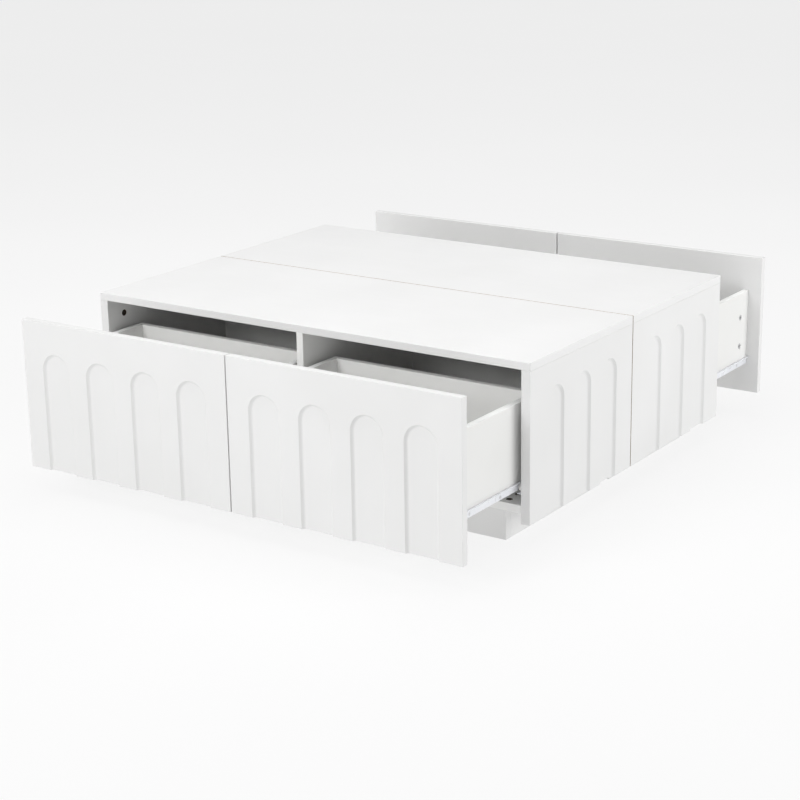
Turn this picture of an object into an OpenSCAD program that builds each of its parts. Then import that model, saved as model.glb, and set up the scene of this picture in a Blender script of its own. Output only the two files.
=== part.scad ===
// Platform bed base made of two identical drawer units that stand back to back.
// Each unit is a board carcass on a recessed plinth and holds two roller drawers.
// +Z is up, X runs along the drawer fronts, and the origin is on the floor at the middle.
// The front unit opens towards -Y and the rear unit, turned half round, towards +Y.

/* [Platform] */
// Width along the drawer fronts
platform_w = 1200; // [960:10:1500]
// Depth of one unit, without its drawer fronts
unit_depth = 455; // [376:5:600]
// Gap between the backs of the two units
unit_seam = 2; // [0.5:0.5:4]
// Height of the top face above the floor
platform_h = 420; // [350:5:560]

/* [Boards] */
// Thickness of the top panels
top_t = 18; // [15:1:30]
// Thickness of the side panels
side_t = 22; // [18:1:30]
// Thickness of the divider between two drawer bays
divider_t = 18; // [18:1:28]
// Thickness of the back panels
back_t = 18; // [12:1:22]
// Thickness of the bottom boards
bottom_t = 18; // [15:1:25]
// Air under the side panels
side_floor_gap = 60; // [30:1:75]

/* [Plinth] */
// Height of the plinth
plinth_h = 84; // [78:1:110]
// Thickness of the plinth rails
plinth_t = 18; // [15:1:25]
// Plinth set back from the unit's sides
plinth_side_inset = 80; // [40:1:120]
// Plinth set back from the drawer side
plinth_front_inset = 35; // [10:1:60]
// Plinth set back from the seam
plinth_back_inset = 45; // [10:1:60]

/* [Drawer fronts] */
// Thickness of a drawer front
front_t = 18; // [16:1:25]
// Drawer front's top edge below the platform's top face
front_top_drop = 6; // [2:1:14]
// Air under the drawer fronts
front_floor_gap = 56; // [30:1:75]
// Gap between two drawer fronts side by side
front_gap = 3; // [2:0.5:6]
// Gap left behind a front when its drawer is shut
closed_gap = 2; // [1:0.5:4]

/* [Drawer boxes] */
// Depth of a drawer box behind its front
box_depth = 350; // [300:5:358]
// Thickness of the drawer sides and backs
box_t = 15; // [12:1:18]
// Drawer side's top edge below the platform's top face
box_top_drop = 94; // [60:1:120]
// Thickness of the drawer bottom
box_bottom_t = 5; // [3:0.5:9]
// Drawer bottom above the lower edge of the drawer sides
box_bottom_up = 12; // [8:1:20]
// Depth of the grooves that hold the drawer bottom
groove_depth = 6; // [4:0.5:8]
// How far the drawers stand open
rest_open = 246; // [2:1:280]

/* [Runners] */
// Side room for a runner between box and carcass
runner_space = 12.5; // [12.5:0.5:15]
// Thickness of the runner steel
steel_t = 1.2; // [1:0.1:1.5]
// Underside of the carcass runner above the bottom board
runner_up = 24; // [14:1:40]
// Height of the carcass runner channel
channel_h = 20; // [20:0.5:24]
// Reach of the channel's lower flange
lower_flange = 10.5; // [9:0.5:10.5]
// Reach of the channel's upper flange
upper_flange = 5; // [3:0.5:6]
// Diameter of the rollers on the carcass
lead_roller_d = 18; // [16:0.5:18.5]
// Diameter of the rollers on the drawer
rear_roller_d = 16; // [14:0.5:16.5]
// Width of every roller
roller_w = 6.4; // [5:0.2:6.6]
// Diameter of the rivets that carry the rollers
rivet_d = 5; // [4:0.5:6]
// Diameter of the rivet heads and shoulders
rivet_head_d = 8; // [7:0.5:10]
// Roller axle's distance from the end of its runner
roller_end = 12; // [11:0.5:20]

/* [Arches] */
// Number of arches on a drawer front
front_arches = 4; // [1:1:5]
// Width of an arch on a drawer front
front_arch_w = 84; // [60:1:88]
// Plain margin beside the outer arches of a front
front_arch_margin = 57; // [40:1:60]
// Plain band above the arches of a front
front_arch_drop = 73; // [40:1:100]
// Number of arches on a side panel
side_arches = 3; // [1:1:4]
// Width of an arch on a side panel
side_arch_w = 72; // [50:1:86]
// Plain margin beside the outer arches of a side
side_arch_margin = 73; // [40:1:80]
// Plain band above the arches of a side
side_arch_drop = 55; // [30:1:90]
// Depth of the arch recesses
arch_depth = 6; // [3:0.5:7]
// Width of the sloping wall round an arch
arch_wall = 8; // [4:0.5:12]

/* [Fittings] */
// Diameter of the cam locks
cam_d = 15; // [12:1:15]
// Length of a carcass cam lock
cam_len = 12.5; // [11:0.5:13]
// Length of a drawer cam lock
drawer_cam_len = 11; // [10:0.5:11.5]
// Carcass cam's centre from the joint it pulls shut
cam_setback = 42; // [24:1:50]
// Drawer cam's centre from the drawer front
drawer_cam_setback = 45; // [24:1:50]
// Outer carcass cams and dowels from a panel's end
cam_end = 57; // [50:1:70]
// Bottom board's outer cams from the board's edge
board_cam_end = 23; // [15:1:30]
// Spacing of the bottom board's paired cams
board_cam_pitch = 37; // [32:1:40]
// Diameter of the cam bolts
cam_bolt_d = 6; // [5:0.5:7]
// Diameter of the bolt's thread
thread_d = 5; // [4:0.5:5]
// Length of the bolt's thread in the mating board
thread_len = 10.5; // [8:0.5:11]
// Diameter of the wooden dowels
dowel_d = 8; // [6:1:10]
// Length of the wooden dowels
dowel_len = 30; // [25:1:35]
// Shank diameter of the runner screws
runner_screw_d = 3.5; // [3:0.5:4]
// Length of the runner screws
runner_screw_len = 8; // [6:0.5:8.5]
// Shank diameter of the board screws
board_screw_d = 5; // [4:0.5:6]
// Length of the board screws
board_screw_len = 50; // [40:1:60]
// Diameter of the sleeve bolts between the units
sleeve_d = 8; // [6:1:10]
// Head diameter of the sleeve bolts
sleeve_head_d = 15; // [12:1:18]
// Head thickness of the sleeve bolts
sleeve_head_t = 2.5; // [2:0.5:4]

/* [Clearances] */
// Radial play of a roller on its rivet
roller_play = 0.08; // [0.05:0.01:0.1]
// Gap between a roller and the flange it runs on
flange_play = 0.3; // [0.2:0.1:0.5]
// Side gap between a roller and its shoulder or head
roller_side_play = 0.3; // [0.2:0.1:0.4]
// Radial play of a fitting in its bore
fit_play = 0.1; // [0.05:0.05:0.3]
// Play of the drawer bottom in its grooves
groove_play = 0.5; // [0.2:0.1:1]

/* [Hidden] */
$fn = 48;
arch_fn = 96;
cut = 1;
half_w = platform_w / 2;
carcass_top = platform_h - top_t;
floor_board_z = plinth_h + bottom_t;
side_in = half_w - side_t;
bay_w = side_in - divider_t / 2;
bay_x = (side_in + divider_t / 2) / 2;
bay_depth = unit_depth - back_t;

front_w = half_w - front_gap / 2;
front_x = (half_w + front_gap / 2) / 2;
front_top = platform_h - front_top_drop;

box_w = bay_w - 2 * runner_space;
box_in = box_w / 2 - box_t;
channel_z = floor_board_z + runner_up;
lead_axle_z = channel_z + 4.7 + lead_roller_d / 2;
flange_z = lead_axle_z + lead_roller_d / 2 + flange_play;
rear_axle_z = channel_z + steel_t + flange_play + rear_roller_d / 2;
member_z = rear_axle_z - rivet_head_d / 2 + 0.8;
box_z = member_z + steel_t;
box_top = platform_h - box_top_drop;
panel_z = box_z + box_bottom_up;

runner_y = closed_gap;
runner_len = box_depth;
member_x = runner_space - steel_t;
lead_roller_x = steel_t + 1.1 + roller_side_play;
rear_roller_x = member_x - 1.1 - roller_side_play - roller_w;
rivet_head_t = 0.9;
screw_ys = [60, 180, runner_len - 30];

cam_ys = [cam_end, unit_depth - cam_end];
dowel_ys = [cam_end / 2, unit_depth - cam_end / 2];
board_cam_ys = [board_cam_end, board_cam_end + board_cam_pitch,
                bay_depth - board_cam_end - board_cam_pitch, bay_depth - board_cam_end];
back_cam_zs = [floor_board_z + 60, carcass_top - 60];
drawer_cam_zs = [box_z + 54, box_top - 63];
back_screw_zs = [box_z + 45, box_top - 45];
dowel_in = 12;
sleeve_xs = [-half_w / 2, half_w / 2];
sleeve_zs = [floor_board_z + 80, carcass_top - 80];
plinth_half = half_w - plinth_side_inset;
plinth_back = unit_depth - plinth_back_inset;
plinth_screw_xs = [-plinth_half + 90, 0, plinth_half - 90];
plinth_screw_ys = [plinth_front_inset + plinth_t / 2, plinth_back - plinth_t / 2];

white_board = "white";
raw_zinc = "silver";
bright_steel = "lightsteelblue";
white_steel = "aliceblue";
nylon = "whitesmoke";
beech = "burlywood";

// ---------- places ----------

// Unit 0 is the front unit, unit 1 the same thing turned half round.
module in_unit(unit) {
    rotate([0, 0, 180 * unit])
        translate([0, -unit_depth - unit_seam / 2, 0])
            children();
}

module in_both_units() {
    for (unit = [0, 1])
        in_unit(unit) children();
}

// Drawers 1 and 2 are in unit 0, 3 and 4 in unit 1; odd ones on the unit's left.
function unit_of(drawer) = drawer > 2 ? 1 : 0;
function bay_side(drawer) = drawer % 2 == 1 ? -1 : 1;

// A drawer's own frame: x from the middle of its bay, y back from its front's rear face.
module in_drawer(drawer) {
    in_unit(unit_of(drawer))
        translate([bay_side(drawer) * bay_x, -rest_open, 0])
            children();
}

// A bay's own frame, at the unit's drawer side.
module in_bay(side) {
    translate([side * bay_x, 0, 0])
        children();
}

// Keeps what is drawn at +X for side 1 and mirrors it to -X for side -1.
module to_side(side) {
    mirror([side > 0 ? 0 : 1, 0, 0]) children();
}

// Both sides of a bay or a drawer, the second one mirrored.
module on_both_sides() {
    for (side = [-1, 1])
        to_side(side) children();
}

// A box between two corners.
module board(low, high) {
    translate(low)
        cube(high - low);
}

// Turns a shape that stands along +Z so that it lies along +X.
module along_x() {
    rotate([0, 90, 0]) children();
}

// ---------- arches ----------

// One arched recess, cut towards +Y from the face y = 0, open at the bottom.
module arch_recess(arch_w, apex_z, low_z) {
    slope = arch_wall / arch_depth;
    outer = arch_w / 2 + cut * slope;
    inner = arch_w / 2 - arch_wall;
    spring_z = apex_z - arch_w / 2;
    translate([0, 0, low_z - cut])
        linear_extrude(spring_z - low_z + cut)
            polygon([[-outer, -cut], [outer, -cut], [inner, arch_depth], [-inner, arch_depth]]);
    translate([0, -cut, spring_z])
        rotate([-90, 0, 0])
            cylinder(r1 = outer, r2 = inner, h = arch_depth + cut, $fn = arch_fn);
}

// A row of arches along X between two plain margins.
module arch_row(count, row_w, margin, arch_w, apex_z, low_z) {
    span = row_w - 2 * margin - arch_w;
    for (i = [0 : count - 1])
        translate([count > 1 ? span * (i / (count - 1) - 0.5) : 0, 0, 0])
            arch_recess(arch_w, apex_z, low_z);
}

// ---------- cam joints ----------

// A cam joint's own frame: +Z out of the face that the cam sits in, +X towards the joint.
module side_cam_places(side) {
    to_side(side)
        for (y = cam_ys)
            translate([side_in, y, carcass_top - cam_setback])
                rotate([0, -90, 0])
                    children();
}

module divider_cam_places() {
    for (y = cam_ys)
        translate([-divider_t / 2, y, carcass_top - cam_setback])
            rotate([0, -90, 0])
                children();
}

module board_cam_places(side) {
    to_side(side)
        for (y = board_cam_ys)
            translate([side_in - cam_setback, y, floor_board_z])
                children();
}

module back_cam_places(side) {
    to_side(side)
        for (z = back_cam_zs)
            translate([side_in - cam_setback, bay_depth, z])
                rotate([90, 0, 0])
                    children();
}

// The drawer's cams sit in the outer faces of its sides.
module drawer_cam_places() {
    on_both_sides()
        for (z = drawer_cam_zs)
            translate([box_w / 2, drawer_cam_setback, z])
                rotate([0, 90, 0])
                    rotate([0, 0, -90])
                        children();
}

// Everything that one cam joint removes from the two boards it joins.
module cam_joint_cut(board_t, setback, length) {
    translate([0, 0, -length - 0.3])
        cylinder(d = cam_d + 2 * fit_play, h = length + 0.3 + cut);
    translate([0, 0, -board_t / 2])
        along_x() cylinder(d = cam_bolt_d + 2 * fit_play, h = setback);
    translate([setback, 0, -board_t / 2])
        along_x() cylinder(d = thread_d + 2 * fit_play, h = thread_len + fit_play);
}

// The cam: a disc with a cross slot in its face and a pocket for the bolt's end.
module cam_lock(board_t, length) {
    difference() {
        translate([0, 0, -length])
            cylinder(d = cam_d, h = length - 0.5);
        for (turn = [0, 90])
            rotate([0, 0, turn])
                translate([-4, -0.8, -2.5]) cube([8, 1.6, 3]);
        translate([0, 0, -board_t / 2])
            along_x() cylinder(d = cam_bolt_d + 2 * fit_play, h = cam_d);
    }
}

// The bolt: a plain shank in the cam's board and a thread in the mating board.
module cam_bolt(board_t, setback) {
    translate([0, 0, -board_t / 2])
        along_x() {
            cylinder(d = cam_bolt_d, h = setback);
            translate([0, 0, setback]) cylinder(d = thread_d, h = thread_len);
        }
}

// ---------- dowels, screws and sleeve bolts ----------

// A dowel standing across a joint, with its short end above the joint.
module dowel(grow = 0) {
    translate([0, 0, dowel_in - dowel_len - grow])
        cylinder(d = dowel_d + 2 * grow, h = dowel_len + 2 * grow);
}

module side_dowel_places(side) {
    to_side(side)
        for (y = dowel_ys)
            translate([half_w - side_t / 2, y, carcass_top])
                children();
}

module divider_dowel_places() {
    for (y = dowel_ys) {
        translate([0, y, carcass_top]) children();
        translate([0, y, floor_board_z]) rotate([180, 0, 0]) children();
    }
}

// A countersunk shape that points down from its flush head, as a screw or as its hole.
module csk_shape(shank_d, length) {
    head_h = shank_d / 2;
    translate([0, 0, -length])
        cylinder(d = shank_d, h = length);
    translate([0, 0, -head_h])
        cylinder(d1 = shank_d, d2 = 2 * shank_d, h = head_h);
}

module screw_hole(shank_d, length) {
    csk_shape(shank_d + 2 * fit_play, length + fit_play);
}

// The cross recess in a screw's head.
module screw_cross(shank_d) {
    for (turn = [0, 90])
        rotate([0, 0, turn])
            translate([-shank_d / 2, -shank_d / 10, -shank_d / 4])
                cube([shank_d, shank_d / 5, shank_d]);
}

module screw(shank_d, length) {
    difference() {
        csk_shape(shank_d, length);
        screw_cross(shank_d);
    }
}

module plinth_screw_places() {
    for (x = plinth_screw_xs, y = plinth_screw_ys)
        translate([x, y, floor_board_z]) children();
}

// Carcass runner screws of one bay, pointing out of the bay.
module runner_screw_places(side) {
    in_bay(side)
        on_both_sides()
            for (y = screw_ys)
                translate([bay_w / 2 - steel_t, runner_y + y, channel_z + channel_h / 2])
                    rotate([0, -90, 0])
                        children();
}

// Drawer runner screws, pointing into the drawer sides.
module member_screw_places() {
    on_both_sides()
        for (y = screw_ys)
            translate([box_w / 2 + steel_t, y, box_z + 6])
                rotate([0, 90, 0])
                    children();
}

// Screws through the drawer sides into the ends of the drawer back.
module back_screw_places() {
    on_both_sides()
        for (z = back_screw_zs)
            translate([box_w / 2, box_depth - box_t / 2, z])
                rotate([0, 90, 0])
                    children();
}

module sleeve_places() {
    for (x = sleeve_xs, z = sleeve_zs)
        translate([x, unit_depth + unit_seam / 2, z])
            rotate([90, 0, 0])
                children();
}

module sleeve_bolt() {
    grip = back_t + unit_seam / 2;
    translate([0, 0, -grip])
        cylinder(d = sleeve_d, h = 2 * grip);
    for (end = [0, 1])
        mirror([0, 0, end])
            difference() {
                translate([0, 0, grip]) cylinder(d = sleeve_head_d, h = sleeve_head_t);
                translate([0, 0, grip + 1]) cylinder(d = 4.6, h = sleeve_head_t, $fn = 6);
            }
}

// ---------- carcass ----------

module top_panel() {
    color(white_board)
        difference() {
            board([-half_w, 0, carcass_top], [half_w, unit_depth, platform_h]);
            for (side = [-1, 1]) {
                side_cam_places(side) cam_joint_cut(side_t, cam_setback, cam_len);
                side_dowel_places(side) dowel(fit_play);
            }
            divider_cam_places() cam_joint_cut(divider_t, cam_setback, cam_len);
            divider_dowel_places() dowel(fit_play);
        }
}

module side_panel(side) {
    color(white_board)
        difference() {
            to_side(side)
                board([side_in, 0, side_floor_gap], [half_w, unit_depth, carcass_top]);
            to_side(side)
                translate([half_w, unit_depth / 2, 0])
                    rotate([0, 0, 90])
                        arch_row(side_arches, unit_depth, side_arch_margin, side_arch_w,
                                 carcass_top - side_arch_drop, side_floor_gap);
            side_cam_places(side) cam_joint_cut(side_t, cam_setback, cam_len);
            board_cam_places(side) cam_joint_cut(bottom_t, cam_setback, cam_len);
            back_cam_places(side) cam_joint_cut(back_t, cam_setback, cam_len);
            side_dowel_places(side) dowel(fit_play);
            runner_screw_places(side) screw_hole(runner_screw_d, runner_screw_len);
        }
}

module divider() {
    color(white_board)
        difference() {
            board([-divider_t / 2, 0, floor_board_z], [divider_t / 2, bay_depth, carcass_top]);
            divider_cam_places() cam_joint_cut(divider_t, cam_setback, cam_len);
            divider_dowel_places() dowel(fit_play);
            for (side = [-1, 1])
                runner_screw_places(side) screw_hole(runner_screw_d, runner_screw_len);
        }
}

module back_panel() {
    color(white_board)
        difference() {
            board([-side_in, bay_depth, plinth_h], [side_in, unit_depth, carcass_top]);
            for (side = [-1, 1])
                back_cam_places(side) cam_joint_cut(back_t, cam_setback, cam_len);
            sleeve_places() cylinder(d = sleeve_d + 2 * fit_play, h = 3 * back_t, center = true);
        }
}

module bottom_board() {
    color(white_board)
        difference() {
            board([-side_in, 0, plinth_h], [side_in, bay_depth, floor_board_z]);
            for (side = [-1, 1])
                board_cam_places(side) cam_joint_cut(bottom_t, cam_setback, cam_len);
            divider_dowel_places() dowel(fit_play);
            plinth_screw_places() screw_hole(board_screw_d, board_screw_len);
        }
}

module plinth_long_rails() {
    color(white_board)
        difference() {
            for (y = [plinth_front_inset, plinth_back - plinth_t])
                board([-plinth_half, y, 0], [plinth_half, y + plinth_t, plinth_h]);
            plinth_screw_places() screw_hole(board_screw_d, board_screw_len);
        }
}

module plinth_cross_rails() {
    color(white_board)
        for (x = [-plinth_half, -plinth_t / 2, plinth_half - plinth_t])
            board([x, plinth_front_inset + plinth_t, 0],
                  [x + plinth_t, plinth_back - plinth_t, plinth_h]);
}

// One carcass runner at the bay wall x = bay_w / 2: a channel and a front rivet.
module carcass_runner() {
    wall = bay_w / 2;
    flange_start = runner_y + 2 * roller_end + 2;
    difference() {
        union() {
            board([wall - steel_t, runner_y, channel_z],
                  [wall, runner_y + runner_len, channel_z + channel_h]);
            board([wall - lower_flange, runner_y, channel_z],
                  [wall, runner_y + runner_len, channel_z + steel_t]);
            board([wall - upper_flange, flange_start, channel_z + channel_h - steel_t],
                  [wall, runner_y + runner_len, channel_z + channel_h]);
        }
        for (y = screw_ys)
            translate([wall - steel_t, runner_y + y, channel_z + channel_h / 2])
                rotate([0, -90, 0]) screw_hole(runner_screw_d, runner_screw_len);
    }
    translate([wall - steel_t, runner_y + roller_end, lead_axle_z])
        rotate([0, -90, 0]) rivet();
}

// A rivet standing on a runner along +Z: shoulder, shank through the roller, head.
module rivet() {
    shoulder = 1.1;
    grip = roller_w + 2 * roller_side_play;
    cylinder(d = rivet_head_d, h = shoulder);
    cylinder(d = rivet_d, h = shoulder + grip + rivet_head_t);
    translate([0, 0, shoulder + grip])
        cylinder(d = rivet_head_d, h = rivet_head_t);
}

module runners() {
    color(white_steel)
        for (side = [-1, 1])
            in_bay(side) on_both_sides() carcass_runner();
}

// A roller between two planes across X, with a shallow dish in its outer face.
module roller(roller_d, near_x) {
    dish_d = roller_d - 5;
    translate([near_x, 0, 0])
        along_x()
            difference() {
                cylinder(d = roller_d, h = roller_w);
                translate([0, 0, -cut])
                    cylinder(d = rivet_d + 2 * roller_play, h = roller_w + 2 * cut);
                for (z = [-cut, roller_w - 0.8])
                    translate([0, 0, z])
                        difference() {
                            cylinder(d = dish_d, h = 0.8 + cut);
                            cylinder(d = rivet_head_d, h = 3 * cut);
                        }
            }
}

// ---------- drawers ----------

module drawer_front(side) {
    offset_x = side * (front_x - bay_x);
    color(white_board)
        difference() {
            board([offset_x - front_w / 2, -front_t, front_floor_gap],
                  [offset_x + front_w / 2, 0, front_top]);
            translate([offset_x, -front_t, 0])
                arch_row(front_arches, front_w, front_arch_margin, front_arch_w,
                         front_top - front_arch_drop, front_floor_gap);
            drawer_cam_places() cam_joint_cut(box_t, drawer_cam_setback, drawer_cam_len);
            bottom_groove();
        }
}

// The space that the grooves give the drawer bottom.
module bottom_groove() {
    reach = box_in + groove_depth;
    board([-reach, -groove_depth, panel_z],
          [reach, box_depth - box_t + groove_depth, panel_z + box_bottom_t]);
}

module drawer_side(side) {
    color(white_board)
        difference() {
            to_side(side)
                board([box_in, 0, box_z], [box_w / 2, box_depth, box_top]);
            bottom_groove();
            drawer_cam_places() cam_joint_cut(box_t, drawer_cam_setback, drawer_cam_len);
            back_screw_places() screw_hole(board_screw_d, board_screw_len);
            member_screw_places() screw_hole(runner_screw_d, runner_screw_len);
        }
}

module drawer_back() {
    color(white_board)
        difference() {
            board([-box_in, box_depth - box_t, box_z], [box_in, box_depth, box_top]);
            bottom_groove();
            back_screw_places() screw_hole(board_screw_d, board_screw_len);
        }
}

module drawer_bottom() {
    reach = box_in + groove_depth - groove_play;
    color(white_board)
        board([-reach, groove_play - groove_depth, panel_z],
              [reach, box_depth - box_t + groove_depth - groove_play, panel_z + box_bottom_t]);
}

// The drawer's runner on the side x = box_w / 2: web, sole under the side, track on top.
module drawer_runner() {
    web = box_w / 2;
    difference() {
        union() {
            board([web, 0, member_z], [web + steel_t, box_depth, flange_z + steel_t]);
            board([web - box_t + 1, 0, member_z], [web + steel_t, box_depth, box_z]);
            board([web, 0, flange_z], [web + runner_space - 5.6, box_depth, flange_z + steel_t]);
        }
        for (y = screw_ys)
            translate([web + steel_t, y, box_z + 6])
                rotate([0, 90, 0]) screw_hole(runner_screw_d, runner_screw_len);
    }
    translate([web + steel_t, box_depth - roller_end, rear_axle_z])
        rotate([0, 90, 0]) rivet();
}

module drawer_runners() {
    color(white_steel)
        on_both_sides() drawer_runner();
}

// Cam locks, their bolts and the screws of one drawer.
module drawer_fittings() {
    color(raw_zinc) {
        drawer_cam_places() cam_lock(box_t, drawer_cam_len);
        drawer_cam_places() cam_bolt(box_t, drawer_cam_setback);
        back_screw_places() screw(board_screw_d, board_screw_len);
        member_screw_places() screw(runner_screw_d, runner_screw_len);
    }
}

module rear_rollers() {
    color(nylon)
        on_both_sides()
            translate([0, box_depth - roller_end, rear_axle_z])
                roller(rear_roller_d, bay_w / 2 - rear_roller_x - roller_w);
}

module lead_rollers(drawer) {
    color(nylon)
        in_unit(unit_of(drawer))
            in_bay(bay_side(drawer))
                on_both_sides()
                    translate([0, runner_y + roller_end, lead_axle_z])
                        roller(lead_roller_d, bay_w / 2 - lead_roller_x - roller_w);
}

// ---------- carcass fittings ----------

module carcass_cam_locks() {
    color(raw_zinc)
        in_both_units() {
            divider_cam_places() cam_lock(divider_t, cam_len);
            for (side = [-1, 1]) {
                side_cam_places(side) cam_lock(side_t, cam_len);
                board_cam_places(side) cam_lock(bottom_t, cam_len);
                back_cam_places(side) cam_lock(back_t, cam_len);
            }
        }
}

module carcass_cam_bolts() {
    color(bright_steel)
        in_both_units() {
            divider_cam_places() cam_bolt(divider_t, cam_setback);
            for (side = [-1, 1]) {
                side_cam_places(side) cam_bolt(side_t, cam_setback);
                board_cam_places(side) cam_bolt(bottom_t, cam_setback);
                back_cam_places(side) cam_bolt(back_t, cam_setback);
            }
        }
}

module carcass_dowels() {
    color(beech)
        in_both_units() {
            divider_dowel_places() dowel();
            for (side = [-1, 1])
                side_dowel_places(side) dowel();
        }
}

module plinth_screws() {
    color(bright_steel)
        in_both_units() plinth_screw_places() screw(board_screw_d, board_screw_len);
}

module runner_screws() {
    color(bright_steel)
        in_both_units()
            for (side = [-1, 1])
                runner_screw_places(side) screw(runner_screw_d, runner_screw_len);
}

module unit_sleeve_bolts() {
    color(bright_steel)
        in_unit(0) sleeve_places() sleeve_bolt();
}

in_unit(0) top_panel();  // front_unit_top_panel
in_unit(0) side_panel(-1);  // front_unit_left_side_panel
in_unit(0) side_panel(1);  // front_unit_right_side_panel
in_unit(0) divider();  // front_unit_divider
in_unit(0) back_panel();  // front_unit_back_panel
in_unit(0) bottom_board();  // front_unit_bottom_board
in_unit(0) plinth_long_rails();  // front_unit_plinth_long_rails
in_unit(0) plinth_cross_rails();  // front_unit_plinth_cross_rails
in_unit(0) runners();  // front_unit_runners
in_unit(1) top_panel();  // rear_unit_top_panel
in_unit(1) side_panel(-1);  // rear_unit_left_side_panel
in_unit(1) side_panel(1);  // rear_unit_right_side_panel
in_unit(1) divider();  // rear_unit_divider
in_unit(1) back_panel();  // rear_unit_back_panel
in_unit(1) bottom_board();  // rear_unit_bottom_board
in_unit(1) plinth_long_rails();  // rear_unit_plinth_long_rails
in_unit(1) plinth_cross_rails();  // rear_unit_plinth_cross_rails
in_unit(1) runners();  // rear_unit_runners
carcass_cam_locks();
carcass_cam_bolts();
carcass_dowels();
plinth_screws();
runner_screws();
unit_sleeve_bolts();
in_drawer(1) drawer_front(-1);  // drawer_1_front
in_drawer(1) drawer_side(-1);  // drawer_1_left_side
in_drawer(1) drawer_side(1);  // drawer_1_right_side
in_drawer(1) drawer_back();  // drawer_1_back
in_drawer(1) drawer_bottom();  // drawer_1_bottom
in_drawer(1) drawer_runners();  // drawer_1_runners
in_drawer(1) drawer_fittings();  // drawer_1_fittings
in_drawer(1) rear_rollers();  // drawer_1_rear_rollers
lead_rollers(1);  // drawer_1_lead_rollers
in_drawer(2) drawer_front(1);  // drawer_2_front
in_drawer(2) drawer_side(-1);  // drawer_2_left_side
in_drawer(2) drawer_side(1);  // drawer_2_right_side
in_drawer(2) drawer_back();  // drawer_2_back
in_drawer(2) drawer_bottom();  // drawer_2_bottom
in_drawer(2) drawer_runners();  // drawer_2_runners
in_drawer(2) drawer_fittings();  // drawer_2_fittings
in_drawer(2) rear_rollers();  // drawer_2_rear_rollers
lead_rollers(2);  // drawer_2_lead_rollers
in_drawer(3) drawer_front(-1);  // drawer_3_front
in_drawer(3) drawer_side(-1);  // drawer_3_left_side
in_drawer(3) drawer_side(1);  // drawer_3_right_side
in_drawer(3) drawer_back();  // drawer_3_back
in_drawer(3) drawer_bottom();  // drawer_3_bottom
in_drawer(3) drawer_runners();  // drawer_3_runners
in_drawer(3) drawer_fittings();  // drawer_3_fittings
in_drawer(3) rear_rollers();  // drawer_3_rear_rollers
lead_rollers(3);  // drawer_3_lead_rollers
in_drawer(4) drawer_front(1);  // drawer_4_front
in_drawer(4) drawer_side(-1);  // drawer_4_left_side
in_drawer(4) drawer_side(1);  // drawer_4_right_side
in_drawer(4) drawer_back();  // drawer_4_back
in_drawer(4) drawer_bottom();  // drawer_4_bottom
in_drawer(4) drawer_runners();  // drawer_4_runners
in_drawer(4) drawer_fittings();  // drawer_4_fittings
in_drawer(4) rear_rollers();  // drawer_4_rear_rollers
lead_rollers(4);  // drawer_4_lead_rollers
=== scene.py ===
"""Looks of the platform bed: two drawer units back to back, white lacquered boards with arched relief.

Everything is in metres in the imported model's own frame: +Z up, X along the drawer fronts,
the front unit's drawers open towards -Y and the rear unit's towards +Y.
"""

import math

import bmesh
import bpy
import numpy as np
from mathutils import Matrix, Vector
from mathutils.geometry import tessellate_polygon


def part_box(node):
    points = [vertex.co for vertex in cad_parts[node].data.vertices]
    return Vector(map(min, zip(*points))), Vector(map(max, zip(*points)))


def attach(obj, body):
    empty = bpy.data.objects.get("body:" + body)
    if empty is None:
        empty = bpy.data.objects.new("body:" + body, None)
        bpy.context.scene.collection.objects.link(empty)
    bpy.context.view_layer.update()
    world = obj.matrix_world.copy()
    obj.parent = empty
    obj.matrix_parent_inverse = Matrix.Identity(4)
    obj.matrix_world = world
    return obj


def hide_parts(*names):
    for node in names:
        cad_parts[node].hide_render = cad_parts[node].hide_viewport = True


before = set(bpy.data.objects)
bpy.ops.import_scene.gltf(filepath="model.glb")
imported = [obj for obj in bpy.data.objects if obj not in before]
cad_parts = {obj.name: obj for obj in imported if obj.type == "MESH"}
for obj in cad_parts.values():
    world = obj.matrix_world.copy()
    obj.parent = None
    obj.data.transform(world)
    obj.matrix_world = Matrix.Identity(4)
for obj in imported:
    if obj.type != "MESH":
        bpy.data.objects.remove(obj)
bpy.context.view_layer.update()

# ---------- the bed's own sizes ----------

MM = 0.001
DRAWERS = (1, 2, 3, 4)
UNITS = ("front_unit", "rear_unit")

# faces this close to the seam plane are painted dark as shade in the seam
SEAM_REACH = 1.5 * MM
ARCH_DEPTH = 6 * MM
ARCH_SLOPE = math.radians(49)
ARCH_COVE = 6.5 * MM
ARCH_ROLL = 0.8 * MM
FRONT_ARCHES = {"count": 4, "width": 84 * MM, "margin": 57 * MM, "drop": 73 * MM}
SIDE_ARCHES = {"count": 3, "width": 72 * MM, "margin": 73 * MM, "drop": 55 * MM}

CAM_BORE_RADIUS = 7.6 * MM
CAM_BORE_DEPTH = 12.8 * MM
SIDE_CAM_END = 57 * MM
SIDE_CAM_DROP = 42 * MM
GROOVE_DEPTH = 6 * MM
GROOVE_PLAY = 0.5 * MM
EASED_EDGE = 0.8 * MM
LONG_EDGE = 12 * MM

STEEL = 1.2 * MM
BEND_RADIUS = 1.4 * MM
WEB_INSET = 0.1 * MM
RUNNER_LENGTH = 350 * MM
CLOSED_GAP = 2 * MM
CHANNEL_HEIGHT = 20 * MM
LOWER_FLANGE = 10.5 * MM
UPPER_FLANGE = 5 * MM
UPPER_LIP = 2.4 * MM
SOLE_REACH = 14 * MM
TRACK_FLANGE = 6.9 * MM
ROLLER_WIDTH = 6.4 * MM
ROLLER_END = 12 * MM


# ---------- light ----------

ROOM_LIGHT = 1.0
HORIZON = 0.95
FLOOR_GLOW = 0.82
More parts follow.
